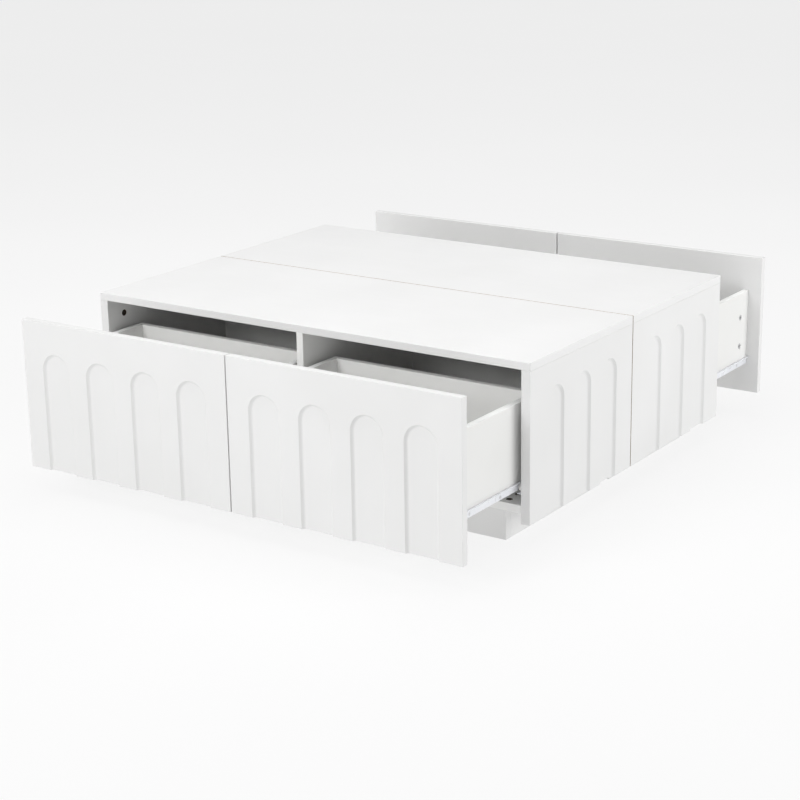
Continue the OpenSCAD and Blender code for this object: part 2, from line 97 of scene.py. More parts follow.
# each softbox: its place, its size and its power
SOFTBOXES = {
    "right_softbox": ((4.1, 1.1, 1.7), 2.4, 75),
    "ceiling_softbox": ((-0.1, -0.2, 3.5), 4.6, 142),
    "front_softbox": ((-1.3, -6.0, 3.4), 2.4, 181),
}


# ---------- materials ----------


def new_material(name):
    """An empty node material with a Principled shader, and helpers for its tree."""
    material = bpy.data.materials.new(name)
    material.use_nodes = True
    nodes = material.node_tree.nodes
    return material, nodes, material.node_tree.links, nodes["Principled BSDF"]


def noise_on(nodes, links, scale, stretch=(1, 1, 1), detail=3.0, roughness=0.55):
    """A noise pattern on Object coordinates, stretched along the axes."""
    place = nodes.new("ShaderNodeTexCoord")
    mapping = nodes.new("ShaderNodeMapping")
    mapping.inputs["Scale"].default_value = stretch
    noise = nodes.new("ShaderNodeTexNoise")
    noise.inputs["Scale"].default_value = scale
    noise.inputs["Detail"].default_value = detail
    noise.inputs["Roughness"].default_value = roughness
    links.new(place.outputs["Object"], mapping.inputs["Vector"])
    links.new(mapping.outputs["Vector"], noise.inputs["Vector"])
    return noise.outputs["Fac"]


def colour_between(nodes, links, pattern, low, high, low_at=0.3, high_at=0.7):
    """A colour ramp from low to high over the pattern's middle range."""
    ramp = nodes.new("ShaderNodeValToRGB")
    ramp.color_ramp.elements[0].position = low_at
    ramp.color_ramp.elements[0].color = (*low, 1)
    ramp.color_ramp.elements[1].position = high_at
    ramp.color_ramp.elements[1].color = (*high, 1)
    links.new(pattern, ramp.inputs["Fac"])
    return ramp.outputs["Color"]


def number_between(nodes, links, pattern, low, high):
    """The pattern's 0.3 to 0.7 mapped to low to high."""
    spread = nodes.new("ShaderNodeMapRange")
    spread.inputs["From Min"].default_value = 0.3
    spread.inputs["From Max"].default_value = 0.7
    spread.inputs["To Min"].default_value = low
    spread.inputs["To Max"].default_value = high
    links.new(pattern, spread.inputs["Value"])
    return spread.outputs["Result"]


def bump_from(nodes, links, shader, layers):
    """Stacks bumps, each a (pattern, height in metres, strength), and drives the shader's normal."""
    below = None
    for pattern, height, strength in layers:
        bump = nodes.new("ShaderNodeBump")
        bump.inputs["Distance"].default_value = height
        bump.inputs["Strength"].default_value = strength
        links.new(pattern, bump.inputs["Height"])
        if below is not None:
            links.new(below, bump.inputs["Normal"])
        below = bump.outputs["Normal"]
    links.new(below, shader.inputs["Normal"])


def sprayed_lacquer(name, low, high, rough=(0.36, 0.46), grain=(1, 1, 1)):
    """Satin sprayed lacquer: faint cloudy tone, faint sanding streaks and a fine orange peel."""
    material, nodes, links, shader = new_material(name)
    cloud = noise_on(nodes, links, 3.5, detail=2)
    streaks = noise_on(nodes, links, 14, stretch=grain, detail=4)
    peel = noise_on(nodes, links, 420, detail=2)
    ripple = noise_on(nodes, links, 60, detail=1)
    links.new(colour_between(nodes, links, cloud, low, high), shader.inputs["Base Color"])
    links.new(number_between(nodes, links, streaks, *rough), shader.inputs["Roughness"])
    shader.inputs["Specular IOR Level"].default_value = 0.45
    bump_from(nodes, links, shader, [(ripple, 0.03 * MM, 0.25), (streaks, 0.02 * MM, 0.2),
                                     (peel, 0.02 * MM, 0.35)])
    return material


def melamine_board(name, low, high):
    """Drawer-box board: white melamine paper with a fine pebbled emboss."""
    material, nodes, links, shader = new_material(name)
    cloud = noise_on(nodes, links, 5, detail=2)
    pebble = noise_on(nodes, links, 900, detail=1.5)
    fibre = noise_on(nodes, links, 40, stretch=(1, 0.12, 1), detail=4)
    links.new(colour_between(nodes, links, cloud, low, high), shader.inputs["Base Color"])
    links.new(number_between(nodes, links, fibre, 0.5, 0.6), shader.inputs["Roughness"])
    shader.inputs["Specular IOR Level"].default_value = 0.35
    bump_from(nodes, links, shader, [(fibre, 0.03 * MM, 0.2), (pebble, 0.04 * MM, 0.4)])
    return material


def raw_fibreboard():
    """Bare fibreboard inside bores and grooves, also laid on the faces at the unit seam as a painted
    shade line: brown, matt, with loose fibres and dark flecks.
    """
    material, nodes, links, shader = new_material("raw_fibreboard")
    fibre = noise_on(nodes, links, 500, stretch=(1, 0.35, 1), detail=6, roughness=0.7)
    fleck = noise_on(nodes, links, 1400, detail=2)
    brown = colour_between(nodes, links, fibre, (0.16, 0.085, 0.04), (0.38, 0.24, 0.13))
    links.new(brown, shader.inputs["Base Color"])
    shader.inputs["Roughness"].default_value = 0.92
    shader.inputs["Specular IOR Level"].default_value = 0.2
    bump_from(nodes, links, shader, [(fibre, 0.3 * MM, 0.7), (fleck, 0.1 * MM, 0.5)])
    return material


def epoxy_coated_steel():
    """White epoxy powder coat on steel strip: cool white, glossy, softly pebbled."""
    material, nodes, links, shader = new_material("epoxy_coated_steel")
    cloud = noise_on(nodes, links, 12, detail=3)
    pebble = noise_on(nodes, links, 700, detail=2)
    wave = noise_on(nodes, links, 45, detail=1)
    links.new(colour_between(nodes, links, cloud, (0.76, 0.775, 0.81), (0.82, 0.83, 0.86)),
              shader.inputs["Base Color"])
    links.new(number_between(nodes, links, wave, 0.24, 0.36), shader.inputs["Roughness"])
    shader.inputs["Coat Weight"].default_value = 0.25
    shader.inputs["Coat Roughness"].default_value = 0.2
    bump_from(nodes, links, shader, [(wave, 0.05 * MM, 0.3), (pebble, 0.05 * MM, 0.4)])
    return material


def plated_metal(name, low, high, rough, grain, cast=0.0):
    """Zinc-plated or die-cast metal: cloudy tone, brushed or cast texture, worn highlights."""
    material, nodes, links, shader = new_material(name)
    cloud = noise_on(nodes, links, 90, detail=4)
    brush = noise_on(nodes, links, 600, stretch=grain, detail=3)
    pits = noise_on(nodes, links, 1800, detail=2)
    links.new(colour_between(nodes, links, cloud, low, high), shader.inputs["Base Color"])
    links.new(number_between(nodes, links, brush, *rough), shader.inputs["Roughness"])
    shader.inputs["Metallic"].default_value = 1.0
    bump_from(nodes, links, shader, [(brush, 0.03 * MM, 0.3), (pits, 0.05 * MM, 0.2 + cast)])
    return material


def moulded_nylon():
    """Moulded roller nylon: milky, slightly translucent white with a faint turned texture."""
    material, nodes, links, shader = new_material("moulded_nylon")
    cloud = noise_on(nodes, links, 150, detail=3)
    fine = noise_on(nodes, links, 1500, detail=2)
    links.new(colour_between(nodes, links, cloud, (0.72, 0.71, 0.68), (0.8, 0.79, 0.765)),
              shader.inputs["Base Color"])
    links.new(number_between(nodes, links, fine, 0.35, 0.5), shader.inputs["Roughness"])
    shader.inputs["Subsurface Weight"].default_value = 0.15
    shader.inputs["Subsurface Radius"].default_value = (0.002, 0.002, 0.002)
    bump_from(nodes, links, shader, [(cloud, 0.03 * MM, 0.25), (fine, 0.02 * MM, 0.3)])
    return material


def beech_wood():
    """Dowel beech: pale tan with short grain flecks along the dowel."""
    material, nodes, links, shader = new_material("beech_wood")
    grain = noise_on(nodes, links, 260, stretch=(1, 1, 0.12), detail=6, roughness=0.65)
    fleck = noise_on(nodes, links, 900, stretch=(1, 1, 0.2), detail=2)
    links.new(colour_between(nodes, links, grain, (0.42, 0.26, 0.13), (0.62, 0.44, 0.26)),
              shader.inputs["Base Color"])
    links.new(number_between(nodes, links, fleck, 0.55, 0.75), shader.inputs["Roughness"])
    bump_from(nodes, links, shader, [(grain, 0.1 * MM, 0.5), (fleck, 0.05 * MM, 0.4)])
    return material


LACQUER = sprayed_lacquer("white_lacquer", (0.755, 0.755, 0.75), (0.785, 0.785, 0.782),
                          grain=(6, 6, 0.25))
# the top's lacquer is a lighter copy of the white lacquer, streaked along the top: the lighter tone is
# painted light
TOP_LACQUER_PAINTED_LIGHT = sprayed_lacquer("white_lacquer_top_painted_light", (0.775, 0.775, 0.772), (0.805, 0.805, 0.803),
                              grain=(0.3, 6, 6))
# the plinth's white is a darker copy of the lacquer, rougher: the darker tone is painted shade under
# the overhang
PLINTH_WHITE_PAINTED_SHADE = sprayed_lacquer("plinth_white_painted_shade", (0.74, 0.74, 0.735), (0.77, 0.77, 0.767),
                               rough=(0.5, 0.62), grain=(0.3, 0.3, 6))
# the carcass's inner boards are a lighter copy of the melamine: painted light that lifts the shade in
# the bays
INNER_BOARD_PAINTED_LIGHT = melamine_board("inner_melamine_painted_light", (0.865, 0.865, 0.85), (0.885, 0.885, 0.875))
MELAMINE = melamine_board("drawer_melamine", (0.785, 0.785, 0.77), (0.815, 0.815, 0.805))
RAW_BOARD = raw_fibreboard()
EPOXY_STEEL = epoxy_coated_steel()
PLATED_STEEL = plated_metal("plated_steel", (0.5, 0.51, 0.53), (0.68, 0.69, 0.71), (0.22, 0.4),
                            (1, 0.2, 1))
# the cam heads are zinc, darkened far below zinc's tone: painted shade in their bores
CAM_PAINTED_SHADE = plated_metal("cam_painted_shade", (0.05, 0.038, 0.03), (0.12, 0.09, 0.075), (0.4, 0.6),
                          (1, 1, 1), cast=0.4)
CAST_ZINC = plated_metal("cast_zinc", (0.52, 0.52, 0.53), (0.68, 0.68, 0.69), (0.4, 0.6),
                         (1, 1, 1), cast=0.4)
NYLON = moulded_nylon()
BEECH = beech_wood()


# ---------- mesh helpers ----------


class Patchwork:
    """Collects patches of points and faces, each with its own material slot, into one mesh."""

    def __init__(self):
        self.points, self.faces, self.slots, self.count = [], [], [], 0

    def add(self, points, faces, slot=0):
        """Adds points and an array of faces that count those points from 0."""
        shifted = (np.asarray(faces) + self.count).tolist()
        self.points.append(np.asarray(points, dtype=float))
        self.faces += shifted
        self.slots += [slot] * len(shifted)
        self.count += len(points)


def strip(first, second, count, closed=True):
    """Quads between two rows of point numbers of the same length."""
    steps = np.arange(count if closed else count - 1)
    following = (steps + 1) % count
    return np.stack([first + steps, first + following, second + following, second + steps],
                    axis=1)


def grid_faces(rows, columns, closed=False):
    """Quads of a grid of points stored row after row, closed where each row is a ring."""
    return np.concatenate([strip(r * columns, (r + 1) * columns, columns, closed)
                           for r in range(rows - 1)])


def weld_and_orient(mesh):
    """Merges the points that patches share, joins flat triangles, turns every face outwards."""
    work = bmesh.new()
    work.from_mesh(mesh)
    bmesh.ops.remove_doubles(work, verts=work.verts, dist=0.005 * MM)
    bmesh.ops.dissolve_degenerate(work, edges=work.edges, dist=0.001 * MM)
    flat = [edge for edge in work.edges
            if len(edge.link_faces) == 2 and edge.calc_face_angle() < 0.001
            and all(len(face.verts) == 3 for face in edge.link_faces)]
    bmesh.ops.dissolve_limit(work, angle_limit=0.001, verts=[], edges=flat)
    bmesh.ops.recalc_face_normals(work, faces=work.faces)
    work.to_mesh(mesh)
    work.free()


def place_piece(piece, body, replaces):
    """Puts a finished piece in the scene, riding on its body in place of its CAD nodes."""
    bpy.context.scene.collection.objects.link(piece)
    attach(piece, body)
    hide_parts(*replaces)
    return piece


def make_piece(name, patches, materials, body, replaces, smooth_angle=35, eased=0.0):
    """Turns a patchwork into a welded piece with eased edges and smooth shading."""
    mesh = bpy.data.meshes.new(name)
    mesh.from_pydata(np.concatenate(patches.points).tolist(), [], patches.faces)
    for material in materials:
        mesh.materials.append(material)
    mesh.polygons.foreach_set("material_index", np.array(patches.slots, dtype=np.int32))
    weld_and_orient(mesh)
    piece = bpy.data.objects.new(name, mesh)
    shade_smooth(mesh, smooth_angle)
    if eased:
        ease_edges(piece, eased, "ANGLE", smooth_angle)
    return place_piece(piece, body, replaces)


def seam_faces_painted_shade(mesh):
    """The faces that meet at the seam between the two units take the dark raw board as painted shade,
    so the seam reads as a dark line.
    """
    centres = np.empty(len(mesh.polygons) * 3)
    mesh.polygons.foreach_get("center", centres)
    slots = np.empty(len(mesh.polygons), dtype=np.int32)
    mesh.polygons.foreach_get("material_index", slots)
    # slot 1, the dark raw board, on the seam faces: painted shade in the gap
    slots[np.abs(centres.reshape(-1, 3)[:, 1]) < SEAM_REACH] = 1
    mesh.polygons.foreach_set("material_index", slots)


def shade_smooth(mesh, angle):
    mesh.polygons.foreach_set("use_smooth", np.ones(len(mesh.polygons), dtype=bool))
    mesh.set_sharp_from_angle(angle=math.radians(angle))


def ease_edges(piece, width, method, angle=35):
    """A small rounded ease on the edges chosen by angle or by weight."""
    ease = piece.modifiers.new("eased_edges", "BEVEL")
    ease.width = width
    ease.segments = 2
    ease.limit_method = method
    ease.angle_limit = math.radians(angle)
    ease.use_clamp_overlap = False
    flats = piece.modifiers.new("true_flats", "WEIGHTED_NORMAL")
    flats.keep_sharp = True
    flats.weight = 100


# ---------- arched panels ----------


def arch_cell(centre, left, right, bottom, top, spring, half, legs=6):
    """The relief in one upright cell of a panel, as points (across, up, depth).

    Each row is an arch-shaped line: two straight legs and a half circle of radius h about the
    arch's centre. The first row is the middle line, where h is 0. The next ones climb the
    wall: a cove arc that leaves the recess floor level, a straight slope, and a small arc
    that rolls over on to the panel's face. The last row lies on the cell's rectangle: each
    of its points is where the ray from the arch's centre, or the level line from its leg,
    meets the cell's border.
    """
    corners = [np.arctan2(top - spring, left - centre), np.arctan2(top - spring, right - centre)]
    angles = np.unique(np.round(np.concatenate([np.linspace(0, np.pi, 49), corners]), 9))[::-1]
    up_leg = np.linspace(bottom, spring, legs, endpoint=False)
    across = np.concatenate([-np.ones(legs), np.cos(angles), np.ones(legs)])
    rise = np.concatenate([np.zeros(legs), np.sin(angles), np.zeros(legs)])
    base = np.concatenate([up_leg, np.full(len(angles), spring), up_leg[::-1]])

    turn = np.linspace(0, ARCH_SLOPE, 7)
    arcs_fall = (ARCH_COVE + ARCH_ROLL) * (1 - np.cos(ARCH_SLOPE))
    straight = (ARCH_DEPTH - arcs_fall) / np.tan(ARCH_SLOPE)
    wall_width = straight + (ARCH_COVE + ARCH_ROLL) * np.sin(ARCH_SLOPE)
    cove_widths = half - wall_width + ARCH_COVE * np.sin(turn)
    cove_depths = ARCH_DEPTH - ARCH_COVE * (1 - np.cos(turn))
    roll_widths = half - ARCH_ROLL * np.sin(turn[::-1])
    roll_depths = ARCH_ROLL * (1 - np.cos(turn[::-1]))
    half_widths = np.concatenate([[0.0], cove_widths, roll_widths])
    depths = np.concatenate([[ARCH_DEPTH], cove_depths, roll_depths, [0.0]])

    side_room = np.where(across < 0, centre - left, right - centre)
    side_reach = side_room / np.maximum(np.abs(across), 1e-9)
    top_reach = (top - spring) / np.maximum(rise, 1e-9)
    reach = np.minimum(side_reach, top_reach)

    reaches = np.vstack([np.repeat(half_widths[:, None], len(across), axis=1), reach])
    return np.stack([centre + reaches * across, base + reaches * rise,
                     np.repeat(depths[:, None], len(across), axis=1)], axis=2)


def border_loop(cells, bottom, top):
    """The panel's border as one closed loop of points, gathered from its arch cells."""
    rims = np.concatenate([rows[-1] for rows in cells])
    foot = np.concatenate([rows.reshape(-1, 3) for rows in cells])
    foot = foot[foot[:, 1] < bottom + 1e-7]
    left = rims[rims[:, 0] < rims[:, 0].min() + 1e-7]
    right = rims[rims[:, 0] > rims[:, 0].max() - 1e-7]
    upper = rims[rims[:, 1] > top - 1e-7]
    loop = np.concatenate([left[np.argsort(left[:, 1])], upper[np.argsort(upper[:, 0])],
                           right[np.argsort(-right[:, 1])], foot[np.argsort(-foot[:, 0])]])
    return loop[np.linalg.norm(loop - np.roll(loop, 1, axis=0), axis=1) > 1e-7]


def arched_panel(name, node, body, arches, outward, pockets=()):
    """A board with a row of arched recesses in its outer face, open at the foot.

    The outer face is a row of arch cells side by side. Its border is carried straight back
    through the board's thickness. The inner face is flat, and each pocket in it is a closed
    outline (across, up) carried into the board by its depth.
    """
    low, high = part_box(node)
    outward = Vector(outward)
    upward = Vector((0, 0, 1))
    along = upward.cross(outward)
    width = abs((high - low).dot(along))
    thick = abs((high - low).dot(outward))
    bottom, top = low.z, high.z

    half = arches["width"] / 2
    spring = top - arches["drop"] - half
    outer_centre = width / 2 - arches["margin"] - half
    centres = np.linspace(-outer_centre, outer_centre, arches["count"])
    between = (centres[1:] + centres[:-1]) / 2
    borders = np.concatenate([[-width / 2], between, [width / 2]])

    patches = Patchwork()
    cells = []
    for centre, left, right in zip(centres, borders[:-1], borders[1:]):
        rows = arch_cell(centre, left, right, bottom, top, spring, half)
        cells.append(rows)
        patches.add(rows.reshape(-1, 3), grid_faces(*rows.shape[:2]))

    loop = border_loop(cells, bottom, top)
    edge = np.column_stack([loop[:, :2], np.full(len(loop), thick)])
    patches.add(np.concatenate([loop, edge]), strip(0, len(loop), len(loop)))
    rims = [np.column_stack([outline, np.full(len(outline), thick)]) for outline, _ in pockets]
    inner_face = [edge] + rims
    triangles = tessellate_polygon([[Vector(point) for point in rim] for rim in inner_face])
    patches.add(np.concatenate(inner_face), triangles)
    for rim, (_, depth) in zip(rims, pockets):
        floor = rim - [0, 0, depth]
        patches.add(np.concatenate([rim, floor]), strip(0, len(rim), len(rim)), slot=1)
        patches.add(floor, [np.arange(len(rim))], slot=1)

    axes = np.array([along, upward, -outward])
    middle = (low + high) / 2 + outward * (thick / 2)
    origin = np.array([middle.x, middle.y, 0])
    patches.points = [origin + points @ axes for points in patches.points]
    panel = make_piece(name, patches, [LACQUER, RAW_BOARD], body, [node],
                       eased=EASED_EDGE)
    # painted shade: the seam faces take the dark raw board
    seam_faces_painted_shade(panel.data)
    return panel


def cam_bores(node):
    """The bores of a side panel's two upper cams, in the panel's own (across, up)."""
    low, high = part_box(node)
    across = (high.y - low.y) / 2 - SIDE_CAM_END
    turn = np.linspace(0, 2 * np.pi, 40, endpoint=False)
    ring = CAM_BORE_RADIUS * np.stack([np.cos(turn), np.sin(turn)], axis=1)
    return [(ring + [x, high.z - SIDE_CAM_DROP], CAM_BORE_DEPTH) for x in (-across, across)]


def bottom_groove(drawer, along):
    """The groove in a front's inner face that takes the drawer bottom's front edge."""
    low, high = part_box(f"drawer_{drawer}_bottom")
    front_low, front_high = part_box(f"drawer_{drawer}_front")
    middle = (front_low.x + front_high.x) / 2
    ends = np.sort(along * (np.array([low.x, high.x]) - middle)) + [-GROOVE_PLAY, GROOVE_PLAY]
    levels = [low.z, high.z]
    outline = np.array([[ends[0], levels[0]], [ends[1], levels[0]],
                        [ends[1], levels[1]], [ends[0], levels[1]]])
    return outline, GROOVE_DEPTH


# ---------- plain boards ----------


def eased_board(name, node, body, material):
    """The node's own board with its flat triangles joined, its long edges eased, bores raw."""
    work = bmesh.new()
    work.from_mesh(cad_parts[node].data)
    bmesh.ops.remove_doubles(work, verts=work.verts, dist=0.01 * MM)
    bmesh.ops.dissolve_limit(work, angle_limit=math.radians(1), verts=work.verts,
                             edges=work.edges)
    bmesh.ops.recalc_face_normals(work, faces=work.faces)
    low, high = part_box(node)
    weight = work.edges.layers.float.new("bevel_weight_edge")
    for edge in work.edges:
        on_border = all(is_on_box(vert.co, low, high) for vert in edge.verts)
        sharp = len(edge.link_faces) == 2 and edge.calc_face_angle() > math.radians(35)
        if on_border and sharp and edge.calc_length() > LONG_EDGE:
            edge[weight] = 1.0
    for face in work.faces:
        face.material_index = int(is_inside_box(face.calc_center_median(), low, high))
    mesh = bpy.data.meshes.new(name)
    work.to_mesh(mesh)
    work.free()
    mesh.materials.clear()
    mesh.materials.append(material)
    mesh.materials.append(RAW_BOARD)
    # painted shade: the seam faces take the dark raw board
    seam_faces_painted_shade(mesh)
    shade_smooth(mesh, 35)
    board = bpy.data.objects.new(name, mesh)
    ease_edges(board, EASED_EDGE, "WEIGHT")
    return place_piece(board, body, [node])


def is_on_box(point, low, high, slack=0.05 * MM):
    """True where a point lies on an edge of the box, on two of its faces at once."""
    touching = [abs(point[i] - low[i]) < slack or abs(point[i] - high[i]) < slack
                for i in range(3)]
    return sum(touching) >= 2


def is_inside_box(point, low, high, slack=0.3 * MM):
    """True where a point is clear of every face of the box."""
    return all(low[i] + slack < point[i] < high[i] - slack for i in range(3))


# ---------- runners and rollers ----------


def strip_outline(corners, radius=BEND_RADIUS, steps=6):
    """A bent steel strip's outline: square-cornered centre line, rounded and given thickness.

    Each bend is a quarter circle about the point that lies one bend radius along both arms.
    The strip's two faces lie half a thickness to either side of the centre line.
    """
    line = np.array(corners, dtype=float)
    arms = np.diff(line, axis=0)
    arms /= np.linalg.norm(arms, axis=1)[:, None]
    sides = np.stack([-arms[:, 1], arms[:, 0]], axis=1)
    centre_points, normals = [line[:1]], [sides[:1]]
    for bend in range(1, len(line) - 1):
        centre = line[bend] + radius * (arms[bend] - arms[bend - 1])
        blend = np.linspace(0, np.pi / 2, steps)[:, None]
        towards = np.cos(blend) * sides[bend - 1] + np.sin(blend) * sides[bend]
        hand = np.sign(np.dot(arms[bend], sides[bend - 1]))
        centre_points.append(centre - hand * radius * towards)
        normals.append(towards)
    centre_points.append(line[-1:])
    normals.append(sides[-1:])
    middle, normal = np.concatenate(centre_points), np.concatenate(normals)
    offset = normal * (STEEL / 2)
    return np.concatenate([middle + offset, (middle - offset)[::-1]])


def sweep_strip(patches, outlines, distances, place):
    """Carries outlines (sideways, up) back to their distances and closes the two ends."""
    count = len(outlines[0])
    rows = [np.column_stack([outline[:, 0], np.full(count, distance), outline[:, 1]])
            for outline, distance in zip(outlines, distances)]
    patches.add(place(np.concatenate(rows)), grid_faces(len(rows), count, closed=True))
    first = np.arange(count // 2 - 1)
    lid = np.stack([first, first + 1, count - 2 - first, count - 1 - first], axis=1)
    patches.add(place(rows[0]), lid)
    patches.add(place(rows[-1]), lid[:, ::-1])


def turn_profile(patches, profile, centre, place, steps=40, slot=0):
    """Turns a profile of (sideways, radius) round the sideways axis through a centre."""
    profile = np.array(profile, dtype=float)
    angles = np.linspace(0, 2 * np.pi, steps, endpoint=False)
    radius = profile[:, 1:2]
    points = np.stack([centre[0] + np.repeat(profile[:, :1], steps, axis=1),
                       centre[1] + radius * np.cos(angles),
                       centre[2] + radius * np.sin(angles)], axis=2)
    patches.add(place(points.reshape(-1, 3)), grid_faces(len(profile), steps, closed=True), slot)


def arc(centre, radius, start, end, steps=6):
    """Points of a circular arc in a profile, by its angles in degrees."""
    angles = np.radians(np.linspace(start, end, steps))
    return np.stack([centre[0] + radius * np.cos(angles), centre[1] + radius * np.sin(angles)],
                    axis=1)


def rivet_profile(reach):
    """Shoulder, shank and domed head of a rivet that stands out sideways by its reach."""
    dome = np.linspace(0, np.pi / 2, 7)
    shoulder = [[0, 0], [0, 4.0], [0.9, 4.0], [1.1, 3.8], [1.1, 2.5], [reach - 1.2, 2.5]]
    head = np.stack([reach - 0.9 + 0.9 * np.sin(dome), 4.0 * np.cos(dome)], axis=1)
    return np.concatenate([shoulder, [[reach - 1.2, 3.7], [reach - 1.1, 4.0]], head]) * MM


def roller_profile(radius, width):
    """A roller: bore, hub ring, shallow dish, rounded rim and the same again on the far side."""
    bore, hub, dish, rim = 2.6, 4.0, 0.8, 0.9
    near = np.concatenate([[[0.0, bore], [0.0, hub - 0.2], [0.25, hub]],
                           [[dish, hub + 0.5], [dish, radius - 3.0], [0.3, radius - 2.5]],
                           arc((rim, radius - rim), rim, 180, 90)])
    far = near[::-1] * [-1, 1] + [width, 0]
    return np.concatenate([near, far, near[:1]]) * MM


def bay_wall_place(unit, wall_x, inward):
    """Maps (away from the wall, back from the drawer side, up) in a bay to the bed's frame."""
    low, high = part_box(f"{unit}_bottom_board")
    start, back = (low.y, 1) if unit == "front_unit" else (high.y, -1)
    return lambda points: points * [inward, back, 1] + [wall_x, start, 0]


def bay_walls(unit):
    """The four walls that carry runners: (x, direction into the bay)."""
    outer_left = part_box(f"{unit}_bottom_board")[0].x
    outer_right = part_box(f"{unit}_bottom_board")[1].x
    divider_low, divider_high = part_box(f"{unit}_divider")
    return [(outer_left, 1), (divider_low.x, -1), (divider_high.x, 1), (outer_right, -1)]


def carcass_runners(unit):
    """Four channels, each with a front roller's rivet.

    A channel is one bent strip: lower flange, web and a narrow lip that widens into the upper
    flange behind the roller. The lip's reach is the strip's only change along its length.
    """
    node = f"{unit}_runners"
    low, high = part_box(node)
    bottom = low.z + STEEL / 2
    top = bottom - STEEL + CHANNEL_HEIGHT
    web = STEEL / 2 - WEB_INSET
    outlines = [strip_outline([[LOWER_FLANGE, bottom], [web, bottom], [web, top], [lip, top]])
                for lip in (UPPER_LIP, UPPER_LIP, UPPER_FLANGE, UPPER_FLANGE)]
    start = CLOSED_GAP
    distances = [start, start + 25 * MM, start + 29 * MM, start + RUNNER_LENGTH]
    axle_z = sum(corner.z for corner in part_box("drawer_1_lead_rollers")) / 2
    patches = Patchwork()
    for wall_x, inward in bay_walls(unit):
        place = bay_wall_place(unit, wall_x, inward)
        sweep_strip(patches, outlines, distances, place)
        turn_profile(patches, rivet_profile(9.0), (STEEL - WEB_INSET, start + ROLLER_END, axle_z),
                     place, slot=1)
    return make_piece(f"{unit}_coated_runners", patches, [EPOXY_STEEL, PLATED_STEEL], "carcass",
                      [node])


def drawer_places(drawer):
    """For each side of a drawer: maps (out from the side, back from the front, up)."""
    places = []
    for side in ("left_side", "right_side"):
        low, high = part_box(f"drawer_{drawer}_{side}")
        box_low, box_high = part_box(f"drawer_{drawer}_bottom")
        outward = 1 if (low.x + high.x) > (box_low.x + box_high.x) else -1
        face = high.x if outward > 0 else low.x
        start, back = (low.y, 1) if drawer <= 2 else (high.y, -1)
        places.append(lambda points, outward=outward, face=face, start=start, back=back:
                      points * [outward, back, 1] + [face, start, 0])
    return places


def drawer_runners(drawer):
    """Two bent strips: a sole under the side, a web up its face and a track flange on top."""
    node = f"drawer_{drawer}_runners"
    low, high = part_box(node)
    sole = low.z + STEEL / 2
    track = high.z - STEEL / 2
    web = STEEL / 2 - WEB_INSET
    outline = strip_outline([[-SOLE_REACH, sole], [web, sole], [web, track],
                             [TRACK_FLANGE, track]])
    axle_z = sum(corner.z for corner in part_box(f"drawer_{drawer}_rear_rollers")) / 2
    patches = Patchwork()
    for place in drawer_places(drawer):
        sweep_strip(patches, [outline, outline], [0, RUNNER_LENGTH], place)
        turn_profile(patches, rivet_profile(9.0),
                     (STEEL - WEB_INSET, RUNNER_LENGTH - ROLLER_END, axle_z), place, slot=1)
    return make_piece(f"drawer_{drawer}_coated_runners", patches, [EPOXY_STEEL, PLATED_STEEL],
                      f"drawer_{drawer}", [node])


def roller_pair(drawer, kind):
    """Two nylon rollers turned about their common axle line, between the CAD rollers' faces."""
    node = f"drawer_{drawer}_{kind}_rollers"
    low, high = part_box(node)
    radius = (high.z - low.z) / 2 / MM
    centre = (low + high) / 2
    patches = Patchwork()
    profile = roller_profile(radius, ROLLER_WIDTH / MM)
    for x, facing in ((low.x, 1), (high.x, -1)):
        turn_profile(patches, profile, (0, 0, 0),
                     lambda points, x=x, facing=facing: points * [facing, 1, 1]
                     + [x, centre.y, centre.z], steps=48)
    return make_piece(f"drawer_{drawer}_{kind}_nylon_rollers", patches, [NYLON],
                      f"drawer_{drawer}_{kind}_roller_pair", [node])


# ---------- the bed's pieces ----------

# each plain board of a unit: its name, the panel it stands for, its material and its slot
UNIT_BOARDS = (
    # the top board's lighter lacquer is painted light
    ("top_board", "top_panel", TOP_LACQUER_PAINTED_LIGHT, "white_lacquer"),
    # the inner boards' lighter melamine is painted light
    ("divider_board", "divider", INNER_BOARD_PAINTED_LIGHT, "white_lacquer"),
    ("back_board", "back_panel", INNER_BOARD_PAINTED_LIGHT, "white_lacquer"),
    ("floor_board", "bottom_board", INNER_BOARD_PAINTED_LIGHT, "white_lacquer"),
    # the plinth boards' darker white is painted shade
    ("plinth_long_boards", "plinth_long_rails", PLINTH_WHITE_PAINTED_SHADE, "plinth_board"),
    ("plinth_cross_boards", "plinth_cross_rails", PLINTH_WHITE_PAINTED_SHADE, "plinth_board"),
)

for drawer in DRAWERS:
    body = f"drawer_{drawer}"
    facing = -1 if drawer <= 2 else 1
    arched_panel(f"{body}_arched_front", f"{body}_front", body, FRONT_ARCHES, (0, facing, 0),
                 [bottom_groove(drawer, -facing)])
    for part in ("left_side", "right_side", "back", "bottom"):
        eased_board(f"{body}_{part}_board", f"{body}_{part}", body, MELAMINE)
    drawer_runners(drawer)
    roller_pair(drawer, "rear")
    roller_pair(drawer, "lead")

for unit in UNITS:
    for side in ("left", "right"):
        node = f"{unit}_{side}_side_panel"
        side_low, side_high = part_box(node)
        outward_x = 1 if side_low.x + side_high.x > 0 else -1
        arched_panel(f"{unit}_{side}_arched_side", node, "carcass", SIDE_ARCHES,
                     (outward_x, 0, 0), cam_bores(node))
    for board, panel, material, slot in UNIT_BOARDS:
        eased_board(f"{unit}_{board}", f"{unit}_{panel}", "carcass", material)
    carcass_runners(unit)

